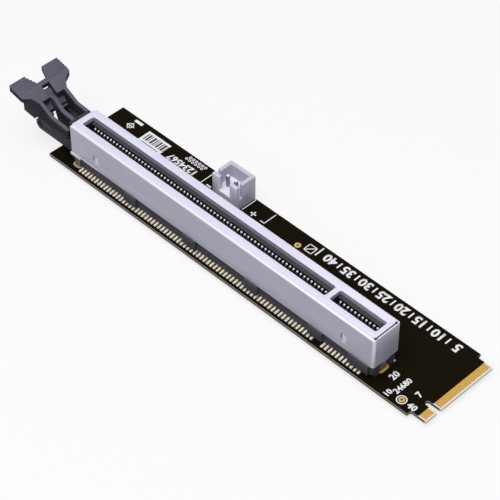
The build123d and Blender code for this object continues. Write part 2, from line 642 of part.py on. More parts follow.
# Latch lever: side plates, a sloping web between them with the hook, ears with stub pins, wings
with BuildPart() as latch_lever:
    add(wings())
    plates = (
        (-PLATE_BACK, LATCH_BOTTOM - PLATE_BACK_DROP),
        (-PLATE_BACK, WING_HEIGHT - WING_THICKNESS),
        (-PAD_INNER, WING_HEIGHT - PAD_DROP - WING_THICKNESS / 2),
        (LIP_X, LIP_HEIGHT),
        (ARM_BEND_X, ARM_BEND_HEIGHT),
        (ARM_END_X, ARM_END_HEIGHT),
        (ARM_END_X, LATCH_BOTTOM),
        (-STEP_FRONT, LATCH_BOTTOM),
        (-STEP_FRONT - PLATE_BACK_DROP / 2, LATCH_BOTTOM - PLATE_HEEL_DROP),
    )
    add(twin_slabs(plates, LATCH_WIDTH / 2, LATCH_PLATE))
    web = (
        (WEB_TOP[0] - WEB_THICKNESS, WEB_TOP[1] - WEB_THICKNESS / 2),
        WEB_TOP,
        WEB_FOOT,
        (WEB_FOOT[0], WEB_FOOT[1] - WEB_THICKNESS),
        (WEB_FOOT[0] - WEB_THICKNESS, WEB_FOOT[1] - WEB_THICKNESS),
    )
    web_half = (LATCH_WIDTH - LATCH_PLATE) / 2
    add(twin_slabs(web, web_half, web_half))
    hook = (
        (WEB_TOP[0] + WEB_THICKNESS / 2, WEB_TOP[1] - WEB_THICKNESS),
        HOOK_START,
        HOOK_BEND,
        HOOK_NOSE,
        (HOOK_NOSE[0], HOOK_NOSE[1] - HOOK_NOSE_DEPTH),
        (HOOK_NOSE[0] - HOOK_NOSE_DEPTH, HOOK_HEEL[1]),
        HOOK_HEEL,
        (HOOK_HEEL[0] - WEB_THICKNESS, HOOK_ROOT),
        (WEB_FOOT[0] - WEB_THICKNESS, HOOK_ROOT),
    )
    add(twin_slabs(hook, LATCH_RIB / 2, LATCH_RIB / 2))

    # Shoulders over the fork's walls, ears between them and the stub pins in their holes
    shoulder = (
        (-STEP_FRONT, LATCH_BOTTOM),
        (STEP_FRONT, LATCH_BOTTOM),
        (STEP_FRONT, LATCH_BOTTOM + LATCH_PLATE),
        (-STEP_FRONT, LATCH_BOTTOM + LATCH_PLATE),
    )
    add(twin_slabs(shoulder, LATCH_WIDTH / 2 - LATCH_PLATE / 2, LATCH_WIDTH / 2 - LATCH_GAP / 2 - LATCH_PLATE / 2))
    ear_outer = FORK_WIDTH / 2 - FORK_WALL - EAR_SIDE_GAP
    for side in (-1, 1):
        with BuildSketch(Plane.XZ.offset(-(SLOT_Y + side * ear_outer))):
            with Locations((PIVOT_X, PIVOT_Z)):
                Circle(EAR_RADIUS)
            with Locations((PIVOT_X, PIVOT_Z + LATCH_BOTTOM / 2)):
                Rectangle(2 * EAR_RADIUS, LATCH_BOTTOM)
        extrude(amount=side * EAR_THICKNESS)
        with BuildSketch(Plane.XZ.offset(-(SLOT_Y + side * (FORK_WIDTH / 2 - PIN_END_GAP)))):
            with Locations((PIVOT_X, PIVOT_Z)):
                Circle(PIVOT_PIN_RADIUS)
        extrude(amount=side * (FORK_WALL + EAR_SIDE_GAP))
write(latch_lever, "latch_lever")

# Header housing: open box with a floor, a wide front gap, side slots and two pin holes
with BuildPart() as header_housing:
    with BuildSketch(Plane.XY.offset(TOP)):
        with Locations((HEADER_X, HEADER_Y)):
            Rectangle(HEADER_WIDTH, HEADER_DEPTH)
    extrude(amount=HEADER_HEIGHT)
    with BuildSketch(Plane.XY.offset(TOP + HEADER_FLOOR)):
        with Locations((HEADER_X, HEADER_Y)):
            Rectangle(HEADER_WIDTH - 2 * HEADER_WALL, HEADER_DEPTH - 2 * HEADER_WALL)
        with Locations((HEADER_X, HEADER_FRONT)):
            Rectangle(HEADER_FRONT_GAP, 2 * HEADER_WALL)
        with Locations((HEADER_X, HEADER_FRONT + HEADER_WALL + HEADER_SIDE_SLOT / 2)):
            Rectangle(HEADER_WIDTH, HEADER_SIDE_SLOT)
    extrude(amount=HEADER_HEIGHT - HEADER_FLOOR, mode=Mode.SUBTRACT)
    with BuildSketch(Plane.XY.offset(TOP)):
        with Locations(*PIN_PLACES):
            Rectangle(PIN_SIZE, PIN_SIZE)
    extrude(amount=HEADER_FLOOR, mode=Mode.SUBTRACT)
write(header_housing, "header_housing")

# Header pins: square posts with bevelled tips, through the board
for number, place in enumerate(PIN_PLACES, 1):
    with BuildPart() as header_pin:
        with BuildSketch(Plane.XY.offset(TAIL_END)):
            with Locations(place):
                Rectangle(PIN_SIZE, PIN_SIZE)
        extrude(amount=TOP + PIN_TOP - TAIL_END)
        chamfer(header_pin.edges().group_by(Axis.Z)[-1], PIN_TIP)
    write(header_pin, f"header_pin_{number}")

# Solder joints underneath: cones round the pins, tapered ovals round the shell's legs
with BuildPart() as pin_solder:
    with BuildSketch(Plane.XY.offset(UNDER)):
        with Locations(*PIN_PLACES):
            Circle(PIN_HOLE_RADIUS + RING_WIDTH)
    extrude(amount=-SOLDER_HEIGHT, taper=SOLDER_TAPER)
    with BuildSketch(Plane.XY.offset(UNDER)):
        with Locations(*PIN_PLACES):
            Rectangle(PIN_SIZE, PIN_SIZE)
    extrude(amount=-SOLDER_HEIGHT, mode=Mode.SUBTRACT)
write(pin_solder, "pin_solder")

with BuildPart() as leg_solder:
    with BuildSketch(Plane.XY.offset(UNDER)):
        leg_ovals()
    extrude(amount=-SOLDER_HEIGHT, taper=SOLDER_TAPER)
    with BuildSketch(Plane.XY.offset(UNDER)) as leg_gaps:
        leg_ovals()
        cut_legs(0)
    extrude(amount=-SOLDER_HEIGHT, mode=Mode.INTERSECT)
write(leg_solder, "leg_solder")
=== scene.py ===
"""Dresses the edge card adapter: shell, housing, latch, header, solder, marks and studio."""
import json
import math

import bpy
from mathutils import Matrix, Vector

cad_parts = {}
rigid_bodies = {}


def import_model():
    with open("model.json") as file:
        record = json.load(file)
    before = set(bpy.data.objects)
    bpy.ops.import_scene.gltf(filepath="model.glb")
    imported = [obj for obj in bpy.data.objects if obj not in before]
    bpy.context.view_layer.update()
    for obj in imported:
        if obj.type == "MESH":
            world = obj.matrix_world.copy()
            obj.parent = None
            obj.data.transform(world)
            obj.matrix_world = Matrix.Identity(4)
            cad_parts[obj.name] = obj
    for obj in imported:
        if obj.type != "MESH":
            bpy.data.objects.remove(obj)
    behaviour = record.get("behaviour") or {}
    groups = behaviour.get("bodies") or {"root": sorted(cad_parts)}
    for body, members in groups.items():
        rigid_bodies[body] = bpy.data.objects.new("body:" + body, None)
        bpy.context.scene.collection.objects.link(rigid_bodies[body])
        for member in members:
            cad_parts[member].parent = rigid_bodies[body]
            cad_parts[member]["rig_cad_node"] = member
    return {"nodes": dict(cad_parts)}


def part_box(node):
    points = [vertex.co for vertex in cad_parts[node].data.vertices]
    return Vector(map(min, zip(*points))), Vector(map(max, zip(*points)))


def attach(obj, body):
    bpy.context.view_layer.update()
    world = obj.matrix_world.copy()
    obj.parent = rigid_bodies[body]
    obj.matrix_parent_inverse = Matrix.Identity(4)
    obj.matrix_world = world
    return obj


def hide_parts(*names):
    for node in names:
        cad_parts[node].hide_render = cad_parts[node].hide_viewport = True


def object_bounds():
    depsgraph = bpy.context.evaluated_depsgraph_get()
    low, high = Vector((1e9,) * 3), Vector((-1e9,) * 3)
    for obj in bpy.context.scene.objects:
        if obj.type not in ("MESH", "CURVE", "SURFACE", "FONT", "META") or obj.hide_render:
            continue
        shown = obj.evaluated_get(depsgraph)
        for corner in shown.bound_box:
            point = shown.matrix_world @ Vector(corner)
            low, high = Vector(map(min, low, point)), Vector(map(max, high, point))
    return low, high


bl_info = {
    "name": "Edge card adapter",
    "version": (1, 0, 0),
    "blender": (4, 5, 0),
    "location": "View3D > Sidebar > Edge Card",
    "description": "Finishes the adapter's pieces, prints its plain marks and sets up the studio",
    "category": "Object",
}

MM = 0.001
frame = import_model()
CAD_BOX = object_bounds()

TOP_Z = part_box("circuit_board")[1].z
HEADER_LOW, HEADER_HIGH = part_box("header_housing")
MIDDLE_X = -55.0 * MM

CONTACT_ROWS = [f"{side}_{run}" for side in ("near", "far") for run in ("long", "short")]
CONTACT_PITCH = 1.0 * MM
CONTACT_HALF_WIDTH = 0.21 * MM

INK_LIFT = 0.02 * MM
INK_THICKNESS = 0.75 * INK_LIFT
STRIPE_Z = TOP_Z + 1.6 * INK_LIFT

# In millimetres: past the adapter on every side, and places on the edge tab
FAR = 200.0
OPEN = (-FAR, FAR)
BARE_TIP = (-2.06, FAR)
TAB_HALF_WIDTH = 9.925
NOTCH_SIDES = (-6.725, -5.525)


# Colours and node building


def shade(red, green, blue):
    """Linear colour of a screen colour given as 0 to 255."""
    linear = []
    for value in (red, green, blue):
        part = value / 255
        linear.append(part / 12.92 if part <= 0.04045 else ((part + 0.055) / 1.055) ** 2.4)
    return (*linear, 1.0)


def add_node(tree, kind, place, **values):
    """Add a node and set its plain properties."""
    node = tree.nodes.new(kind)
    node.location = place
    for name, value in values.items():
        setattr(node, name, value)
    return node


def feed(tree, socket, value):
    """Link a socket's value, or set it as a plain number or colour."""
    if isinstance(value, bpy.types.NodeSocket):
        tree.links.new(value, socket)
    else:
        socket.default_value = value


def calculate(tree, operation, place, *values, kind="ShaderNodeMath", **settings):
    """A Math or Vector Math node, fed in order; gives its output."""
    node = add_node(tree, kind, place, operation=operation, **settings)
    for socket, value in zip(node.inputs, values):
        feed(tree, socket, value)
    return node.outputs[0]


def mix_colours(tree, place, factor, first, second, blend="MIX"):
    """Mix two colours by a factor."""
    mix = add_node(tree, "ShaderNodeMix", place, data_type="RGBA", blend_type=blend)
    for label, value in (("Factor", factor), ("A", first), ("B", second)):
        feed(tree, mix.inputs[label], value)
    return mix.outputs["Result"]


def object_place(tree):
    """Each point's place on the object, in metres."""
    return add_node(tree, "ShaderNodeTexCoord", (-1500, 250)).outputs["Object"]


def noise(tree, place, vector, scale, detail=2.0, roughness=0.5):
    """Noise from 0 to 1 over a vector."""
    node = add_node(tree, "ShaderNodeTexNoise", place)
    for label, value in (
        ("Vector", vector), ("Scale", scale), ("Detail", detail), ("Roughness", roughness),
    ):
        feed(tree, node.inputs[label], value)
    return node.outputs["Fac"]


def normal_sizes(tree, labels="XYZ"):
    """How far the surface's normal points along each direction, either way."""
    geometry = add_node(tree, "ShaderNodeNewGeometry", (-1500, 0))
    apart = add_node(tree, "ShaderNodeSeparateXYZ", (-1300, 0))
    tree.links.new(geometry.outputs["Normal"], apart.inputs[0])
    return [
        calculate(tree, "ABSOLUTE", (-1100, 160 - 160 * index), apart.outputs[label])
        for index, label in enumerate(labels)
    ]


def new_group(name, inputs, outputs):
    """Start a shared shader group with named sockets, each a (name, socket type, default)."""
    group = bpy.data.node_groups.new(name, "ShaderNodeTree")
    for label, kind, default in inputs:
        socket = group.interface.new_socket(label, in_out="INPUT", socket_type=kind)
        socket.default_value = default
    for label, kind in outputs:
        group.interface.new_socket(label, in_out="OUTPUT", socket_type=kind)
    entry = add_node(group, "NodeGroupInput", (-900, 0))
    leave = add_node(group, "NodeGroupOutput", (700, 0))
    return group, entry, leave


def fine_grain_group():
    """Moulding texture: a fine and a coarse noise mixed into one height."""
    group, entry, leave = new_group(
        "Fine grain",
        [("Fine scale", "NodeSocketFloat", 9000.0), ("Coarse scale", "NodeSocketFloat", 900.0)],
        [("Height", "NodeSocketFloat"), ("Tone", "NodeSocketFloat")],
    )
    place = object_place(group)
    fine = noise(group, (-600, 200), place, entry.outputs["Fine scale"])
    coarse = noise(group, (-600, -150), place, entry.outputs["Coarse scale"], detail=4.0)
    height = calculate(group, "MULTIPLY_ADD", (-250, 100), fine, 0.7, coarse)
    group.links.new(height, leave.inputs["Height"])
    group.links.new(coarse, leave.inputs["Tone"])
    return group


def bend_mask_group():
    """Bright where a surface turns between the main directions: folds, bevels and round noses."""
    group, entry, leave = new_group(
        "Bend mask",
        [("Softness", "NodeSocketFloat", 0.12)],
        [("Mask", "NodeSocketFloat")],
    )
    x, y, z = normal_sizes(group)
    wide = calculate(group, "MAXIMUM", (-340, 260), x, y)
    widest = calculate(group, "MAXIMUM", (-180, 200), wide, z)
    missing = calculate(group, "SUBTRACT", (0, 200), 1.0, widest)
    softness = entry.outputs["Softness"]
    mask = calculate(group, "DIVIDE", (180, 200), missing, softness, use_clamp=True)
    group.links.new(mask, leave.inputs["Mask"])
    return group


def cloudy_tone_group():
    """Two colours in soft clouds, so that no surface is one flat colour."""
    group, entry, leave = new_group(
        "Cloudy tone",
        [
            ("Base", "NodeSocketColor", (0.5, 0.5, 0.5, 1)),
            ("Cloud", "NodeSocketColor", (0.6, 0.6, 0.6, 1)),
            ("Scale", "NodeSocketFloat", 300.0),
        ],
        [("Color", "NodeSocketColor"), ("Amount", "NodeSocketFloat")],
    )
    scale = entry.outputs["Scale"]
    clouds = noise(group, (-600, 200), object_place(group), scale, detail=5.0, roughness=0.6)
    spread = add_node(group, "ShaderNodeMapRange", (-350, 200))
    spread.inputs["From Min"].default_value = 0.35
    spread.inputs["From Max"].default_value = 0.65
    group.links.new(clouds, spread.inputs["Value"])
    amount = spread.outputs["Result"]
    colour = mix_colours(group, (-100, 200), amount, entry.outputs["Base"], entry.outputs["Cloud"])
    group.links.new(colour, leave.inputs["Color"])
    group.links.new(amount, leave.inputs["Amount"])
    return group


def upright_mask_group():
    """1 on upright faces, 0 on faces that lie flat."""
    group, entry, leave = new_group(
        "Upright mask",
        [("Flat", "NodeSocketFloat", 0.75)],
        [("Mask", "NodeSocketFloat")],
    )
    (size,) = normal_sizes(group, "Z")
    share = calculate(group, "DIVIDE", (-300, 150), size, entry.outputs["Flat"], use_clamp=True)
    mask = calculate(group, "SUBTRACT", (-100, 150), 1.0, share)
    group.links.new(mask, leave.inputs["Mask"])
    return group


def inside_box_group():
    """1 inside an upright box of the object's own space, fading to 0 towards its faces."""
    group, entry, leave = new_group(
        "Inside box",
        [
            ("Low", "NodeSocketVector", (-1.0, -1.0, -1.0)),
            ("High", "NodeSocketVector", (1.0, 1.0, 1.0)),
            ("Fade", "NodeSocketFloat", 0.0001),
        ],
        [("Mask", "NodeSocketFloat")],
    )
    place, low, high = object_place(group), entry.outputs["Low"], entry.outputs["High"]
    vector = "ShaderNodeVectorMath"
    over_low = calculate(group, "SUBTRACT", (-650, 250), place, low, kind=vector)
    under_high = calculate(group, "SUBTRACT", (-650, 50), high, place, kind=vector)
    nearest = calculate(group, "MINIMUM", (-450, 150), over_low, under_high, kind=vector)
    apart = add_node(group, "ShaderNodeSeparateXYZ", (-270, 150))
    group.links.new(nearest, apart.inputs[0])
    level = calculate(group, "MINIMUM", (-90, 200), apart.outputs["X"], apart.outputs["Y"])
    depth = calculate(group, "MINIMUM", (90, 150), level, apart.outputs["Z"])
    fade = entry.outputs["Fade"]
    mask = calculate(group, "DIVIDE", (270, 100), depth, fade, use_clamp=True)
    group.links.new(mask, leave.inputs["Mask"])
    return group


GROUPS = {}


def shared(name):
    """The shared group of that name, built the first time it is asked for."""
    makers = {
        "grain": fine_grain_group,
        "bend": bend_mask_group,
        "cloud": cloudy_tone_group,
        "box": inside_box_group,
        "upright": upright_mask_group,
    }
    if name not in GROUPS:
        GROUPS[name] = makers[name]()
    return GROUPS[name]


def place_group(tree, name, place, **values):
    """Put a shared group in a material and set its inputs."""
    node = add_node(tree, "ShaderNodeGroup", place, node_tree=shared(name))
    for label, value in values.items():
        node.inputs[label.replace("_", " ").capitalize()].default_value = value
    return node


def start_material(name, roughness, metallic=0.0, specular=0.5):
    """A new node material with its shader's plain numbers set."""
    material = bpy.data.materials.new(name)
    material.use_nodes = True
    tree = material.node_tree
    shader = tree.nodes["Principled BSDF"]
    shader.inputs["Roughness"].default_value = roughness
    shader.inputs["Metallic"].default_value = metallic
    shader.inputs["Specular IOR Level"].default_value = specular
    return material, tree, shader


def scaled(colour, share):
    """A colour taken down or up by that share."""
    return tuple(min(1.0, part * share) for part in colour[:3]) + (1.0,)


def cloudy_colour(tree, base, cloud, scale):
    """A cloudy tone group in the tree, which gives the base colour."""
    return place_group(tree, "cloud", (-700, 250), base=base, cloud=cloud, scale=scale)


def spread_over(tree, value, low, high, place):
    """Spread a value from 0 to 1 over another range."""
    spread = add_node(tree, "ShaderNodeMapRange", place)
    spread.inputs["To Min"].default_value = low
    spread.inputs["To Max"].default_value = high
    tree.links.new(value, spread.inputs["Value"])
    return spread.outputs["Result"]


def stretch(tree, vector, scale):
    """Stretch a pattern's space, each direction by its own scale."""
    mapping = add_node(tree, "ShaderNodeMapping", (-1100, -400))
    mapping.inputs["Scale"].default_value = scale
    tree.links.new(vector, mapping.inputs["Vector"])
    return mapping.outputs["Vector"]


def add_relief(tree, shader, height, strength, distance):
    """Feed a height to the shader's normal through a bump node."""
    bump = add_node(tree, "ShaderNodeBump", (-250, -350))
    bump.inputs["Strength"].default_value = strength
    bump.inputs["Distance"].default_value = distance
    tree.links.new(height, bump.inputs["Height"])
    tree.links.new(bump.outputs["Normal"], shader.inputs["Normal"])


def vary_roughness(tree, shader, amount, low, high):
    """Let the roughness drift between two values."""
    drift = spread_over(tree, amount, low, high, (-350, -80))
    tree.links.new(drift, shader.inputs["Roughness"])


def tint_inside(tree, colour, tint, x=OPEN, y=OPEN, z=OPEN, fade=0.1):
    """Lay a tint over a colour inside a box, given by its ranges in millimetres."""
    column = 250 + 60 * len(tree.nodes)
    low, high = ([part * MM for part in corner] for corner in zip(x, y, z))
    box = place_group(tree, "box", (-1500, column), low=low, high=high, fade=fade * MM)
    return mix_colours(tree, (-1250, column), box.outputs["Mask"], colour, tint)


def painted_upright_shade(tree, colour, share):
    """Painted shade: take a colour down on upright faces to that share of itself."""
    upright = place_group(tree, "upright", (-1500, 900)).outputs["Mask"]
    grey = (share, share, share, 1.0)
    return mix_colours(tree, (-1000, 700), upright, colour, grey, "MULTIPLY")


def painted_bend_highlight(tree, shader, colour, bright, softness, amount=1.0):
    """Paint a highlight on folds and bevels over a colour, and feed it to the shader."""
    bends = place_group(tree, "bend", (-700, -150), softness=softness).outputs["Mask"]
    limit = calculate(tree, "MULTIPLY", (-480, -150), bends, amount)
    bend_highlight = mix_colours(tree, (-300, 200), limit, colour, bright)
    tree.links.new(bend_highlight, shader.inputs["Base Color"])


def satin_sheet_material(colour, rim):
    """Folded stainless satin sheet, drawn lines, painted highlight on folds and rim, painted shade
    on legs.
    """
    material, tree, shader = start_material("Satin sheet", 0.45, 0.1)
    tone = cloudy_colour(tree, colour, scaled(colour, 1.06), 160.0).outputs["Color"]
    # Painted shade on the upright sides.
    tone = painted_upright_shade(tree, tone, 0.66)
    low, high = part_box("slot_shell")
    left, right = low.x / MM, high.x / MM
    # Painted shade in each lance's slit and painted highlight on its raised tab.
    painted_slit_shade, painted_tab_highlight = shade(58, 56, 70), shade(226, 224, 246)
    for lance in (left + 7.75, right - 8.87):
        slit, tab = (lance, lance + 0.38), (lance + 0.36, lance + 1.75)
        tone = tint_inside(tree, tone, painted_slit_shade, x=slit, z=(rim + 2.5, rim + 4.0), fade=0.05)
        tone = tint_inside(tree, tone, painted_tab_highlight, x=tab, z=(rim + 1.5, rim + 3.9), fade=0.4)
    # Painted highlight along the rim at the latch end.
    rim_highlight_zone = (rim - 0.75, rim + 0.42)
    tone = tint_inside(
        tree, tone, shade(255, 255, 255), x=(-FAR, left + 8.9), z=rim_highlight_zone, fade=0.06,
    )
    # Painted shade on the legs below the rim.
    tone = tint_inside(tree, tone, shade(84, 82, 92), z=(-FAR, rim - 0.68), fade=0.05)
    # Painted highlight on the folds and bevels.
    painted_bend_highlight(tree, shader, tone, shade(247, 245, 255), 0.14)
    stretched = stretch(tree, object_place(tree), (60.0, 5000.0, 5000.0))
    drawn = noise(tree, (-900, -400), stretched, 1.0, detail=3.0)
    vary_roughness(tree, shader, drawn, 0.36, 0.5)
    add_relief(tree, shader, drawn, 0.12, 0.01 * MM)
    return material


def moulded_material(name, colour, cloud, rough, bend_highlight, highlight_share, upright, tints=(), specular=0.12):
    """Glass-filled moulding: fine grain, faint clouds, painted edge highlight and side shade,
    tinted zones.
    """
    material, tree, shader = start_material(name, sum(rough) / 2, specular=specular)
    tone = cloudy_colour(tree, colour, cloud, 420.0).outputs["Color"]
    for tint, x, z, fade in tints:
        tone = tint_inside(tree, tone, tint, x=x, z=z, fade=fade)
    # Painted shade on upright faces, then painted highlight on the edges.
    painted_bend_highlight(tree, shader, painted_upright_shade(tree, tone, upright), bend_highlight, 0.25, highlight_share)
    grain = place_group(tree, "grain", (-700, -350), fine_scale=14000.0, coarse_scale=1500.0)
    vary_roughness(tree, shader, grain.outputs["Tone"], *rough)
    add_relief(tree, shader, grain.outputs["Height"], 0.25, 0.02 * MM)
    return material


def nylon_material(colour):
    """Unfilled nylon: a little light passes in, with painted light and painted shade on its rims
    and well.
    """
    material, tree, shader = start_material("Natural nylon", 0.42)
    shader.inputs["Subsurface Weight"].default_value = 0.08
    shader.inputs["Subsurface Scale"].default_value = 0.4 * MM
    tone = cloudy_colour(tree, colour, scaled(colour, 0.94), 500.0).outputs["Color"]
    low, high = HEADER_LOW / MM, HEADER_HIGH / MM
    wall, floor = 0.6, TOP_Z / MM + 2.75
    between, well = (low.x + wall, high.x - wall), (low.y + wall, high.y - wall)
    # Painted light on the near face, which the slot shades.
    tone = tint_inside(tree, tone, shade(234, 232, 250), y=(-FAR, low.y + 0.3))
    # Painted shade inside the well.
    tone = tint_inside(
        tree, tone, shade(184, 182, 201), x=between, y=well, z=(floor, high.z - 0.3),
    )
    # Painted light on the well's floor.
    tone = tint_inside(
        tree, tone, shade(246, 244, 255), x=between, y=(-FAR, well[1]),
        z=(floor - 0.2, floor + 0.2), fade=0.05,
    )
    # Painted highlight on the rims.
    painted_bend_highlight(tree, shader, tone, shade(216, 214, 230), 0.2, 0.2)
    grain = place_group(tree, "grain", (-700, -350), fine_scale=9000.0, coarse_scale=1200.0)
    add_relief(tree, shader, grain.outputs["Height"], 0.12, 0.02 * MM)
    return material


def plated_material(name, colour, cloud, rough, scale=2500.0, metallic=0.6):
    """Plated copper or solder: metal with small clouds and a slightly uneven face."""
    material, tree, shader = start_material(name, sum(rough) / 2, metallic)
    tone = cloudy_colour(tree, colour, cloud, scale)
    tree.links.new(tone.outputs["Color"], shader.inputs["Base Color"])
    grain = place_group(tree, "grain", (-700, -350), fine_scale=9000.0, coarse_scale=2600.0)
    vary_roughness(tree, shader, grain.outputs["Tone"], *rough)
    add_relief(tree, shader, grain.outputs["Height"], 0.2, 0.02 * MM)
    return material


def post_material():
    """Square header post: dull tinned sides and a painted highlight on its cut top."""
    material, tree, shader = start_material("Tinned post", 0.3, 0.3)
    tone = cloudy_colour(tree, shade(150, 150, 165), shade(130, 130, 145), 1800.0)
    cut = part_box("header_pin_1")[1].z / MM - 0.16
    # Painted highlight on the post's cut top.
    topped = tint_inside(
        tree, tone.outputs["Color"], shade(250, 250, 255), z=(cut, FAR), fade=0.03,
    )
    tree.links.new(topped, shader.inputs["Base Color"])
    return material


def contact_material():
    """Sprung contact strip: painted highlight on the curled tip, painted shade on the stem, a cream
    tinned toe.
    """
    material, tree, shader = start_material("Contact strip", 0.35, 0.15)
    # Painted shade as the strip's base tone, left on its stem.
    tone = cloudy_colour(tree, shade(72, 70, 70), shade(92, 88, 84), 1500.0).outputs["Color"]
    low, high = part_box("slot_contacts_far_long")
    tip, toe = high.z / MM - 0.26, low.z / MM + 1.0
    # Painted highlight on the curled tip.
    tone = tint_inside(tree, tone, shade(255, 255, 255), z=(tip, FAR), fade=0.08)
    tone = tint_inside(tree, tone, shade(255, 251, 236), z=(-FAR, toe), fade=0.2)
    tree.links.new(tone, shader.inputs["Base Color"])
    return material


def test_pad_material(colour):
    """Gold pads, each with a dark probe dimple in its middle."""
    material, tree, shader = start_material("Test pad", 0.35, 0.2)
    tone = cloudy_colour(tree, colour, scaled(colour, 0.85), 2500.0).outputs["Color"]
    low, high = (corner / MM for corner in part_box("test_pads"))
    wide, small, dimple = 0.75, 0.7, 0.32
    for x, y in ((low.x + wide, high.y - wide), (high.x - small, low.y + small)):
        across, along = (x - dimple, x + dimple), (y - dimple, y + dimple)
        tone = tint_inside(tree, tone, shade(92, 66, 20), x=across, y=along, fade=0.12)
    tree.links.new(tone, shader.inputs["Base Color"])
    return material


def leg_ring_material(gold):
    """Plated leg rings: tinned and pale at the latch end, bare gold at the tab end."""
    material, tree, shader = start_material("Ring plating", 0.36, 0.2)
    tone = cloudy_colour(tree, shade(216, 198, 174), shade(192, 166, 134), 2500.0)
    golden = tint_inside(tree, tone.outputs["Color"], gold, x=(-60.0, FAR))
    tree.links.new(golden, shader.inputs["Base Color"])
    return material


def ink_material(colour):
    """Printed ink: matt, with faint clouds."""
    material, tree, shader = start_material("Printed ink", 0.6)
    tone = cloudy_colour(tree, colour, scaled(colour, 0.9), 2200.0)
    tree.links.new(tone.outputs["Color"], shader.inputs["Base Color"])
    return material


def laminate_colour(tree, coordinates, laminate):
    """Bare glass laminate of the cut sides, darker in the core."""
    weave = noise(tree, (-1200, -100), coordinates, 5200.0)
    glass = mix_colours(tree, (-950, -60), weave, scaled(laminate, 0.72), laminate)
    return tint_inside(tree, glass, shade(84, 80, 82), z=(-0.24, 0.16), fade=0.08)


def buried_tracks(tree, coordinates):
    """Height of faint tracks under the solder mask."""
    tracks = add_node(tree, "ShaderNodeTexBrick", (-900, -400), offset=0.37)
    for label, value in (
        ("Vector", stretch(tree, coordinates, (70.0, 1250.0, 1.0))), ("Scale", 1.0),
        ("Mortar Size", 0.22), ("Mortar Smooth", 0.6), ("Brick Width", 1.6), ("Row Height", 1.0),
    ):
        feed(tree, tracks.inputs[label], value)
    return tracks.outputs["Fac"]


def board_material(mask, laminate):
    """Solder mask with faint buried tracks, bare tab tip, and laminate on the cut sides."""
    material, tree, shader = start_material("Circuit board", 0.6, specular=0.02)
    coordinates = object_place(tree)
    tone = cloudy_colour(tree, mask, scaled(mask, 1.25), 220.0)
    bare = tint_inside(tree, tone.outputs["Color"], shade(150, 116, 62), x=BARE_TIP, fade=0.05)
    margin = 0.38
    for start in (
        -TAB_HALF_WIDTH, NOTCH_SIDES[0] - margin, NOTCH_SIDES[1], TAB_HALF_WIDTH - margin,
    ):
        strip = (start, start + margin)
        bare = tint_inside(tree, bare, shade(238, 231, 214), x=BARE_TIP, y=strip, fade=0.05)
    (size,) = normal_sizes(tree, "Z")
    flat_face = calculate(tree, "GREATER_THAN", (-900, 160), size, 0.95)
    cut_side = laminate_colour(tree, coordinates, laminate)
    covered = mix_colours(tree, (-300, 250), flat_face, cut_side, bare)
    end_x, end_z = (-0.42, FAR), (-0.35, FAR)
    ended = tint_inside(tree, covered, shade(232, 226, 212), x=end_x, z=end_z, fade=0.05)
    tree.links.new(ended, shader.inputs["Base Color"])
    add_relief(tree, shader, buried_tracks(tree, coordinates), 0.18, 0.03 * MM)
    vary_roughness(tree, shader, tone.outputs["Amount"], 0.55, 0.68)
    return material


def paint(obj, material):
    """Give an object this one material."""
    obj.data.materials.clear()
    obj.data.materials.append(material)


def paint_nodes(material, *names):
    """Give CAD nodes this one material."""
    for name in names:
        paint(frame["nodes"][name], material)


# Modelling steps


def only(obj):
    """Select this object alone, in object mode."""
    if bpy.context.mode != "OBJECT":
        bpy.ops.object.mode_set(mode="OBJECT")
    bpy.ops.object.select_all(action="DESELECT")
    obj.select_set(True)
    bpy.context.view_layer.objects.active = obj


MERGE_DISTANCE = 0.002 * MM
LEVEL_ANGLE, EDGE_ANGLE, SMOOTH_ANGLE = (math.radians(angle) for angle in (0.5, 32.0, 30.0))


def softened_copy(node, name, edge):
    """Copy a CAD node, merge its loose faces and round its sharp edges by edge metres."""
    only(frame["nodes"][node])
    bpy.ops.object.duplicate()
    piece = bpy.context.active_object
    piece.name = name
    del piece["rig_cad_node"]
    bpy.ops.mesh.customdata_custom_splitnormals_clear()
    bpy.ops.object.mode_set(mode="EDIT")
    bpy.ops.mesh.select_all(action="SELECT")
    bpy.ops.mesh.remove_doubles(threshold=MERGE_DISTANCE)
    bpy.ops.mesh.dissolve_limited(angle_limit=LEVEL_ANGLE)
    bpy.ops.object.mode_set(mode="OBJECT")
    bevel = piece.modifiers.new("Rounded edges", "BEVEL")
    bevel.width = edge
    bevel.segments = 2
    bevel.limit_method = "ANGLE"
    bevel.angle_limit = EDGE_ANGLE
    bevel.use_clamp_overlap = True
    bpy.ops.object.modifier_apply(modifier=bevel.name)
    bpy.ops.object.shade_smooth_by_angle(angle=SMOOTH_ANGLE)
    return piece


def join(pieces, name):
    """Join pieces into one object of that name, with its place in its mesh."""
    only(pieces[0])
    for piece in pieces[1:]:
        piece.select_set(True)
    if len(pieces) > 1:
        bpy.ops.object.join()
    bpy.ops.object.transform_apply(location=True, rotation=True, scale=True)
    joined = bpy.context.active_object
    joined.name = name
    return joined


def bar(x, y, length, width, turn=0.0, z=None):
    """A flat printed bar in millimetres, turned about its middle by degrees."""
    bpy.ops.object.select_all(action="DESELECT")
    height = TOP_Z + INK_LIFT if z is None else z
    bpy.ops.mesh.primitive_plane_add(size=1.0, location=(x * MM, y * MM, height))
    piece = bpy.context.active_object
    piece.scale = (length * MM, width * MM, 1.0)
    piece.rotation_euler = (0.0, 0.0, math.radians(turn))
    return piece


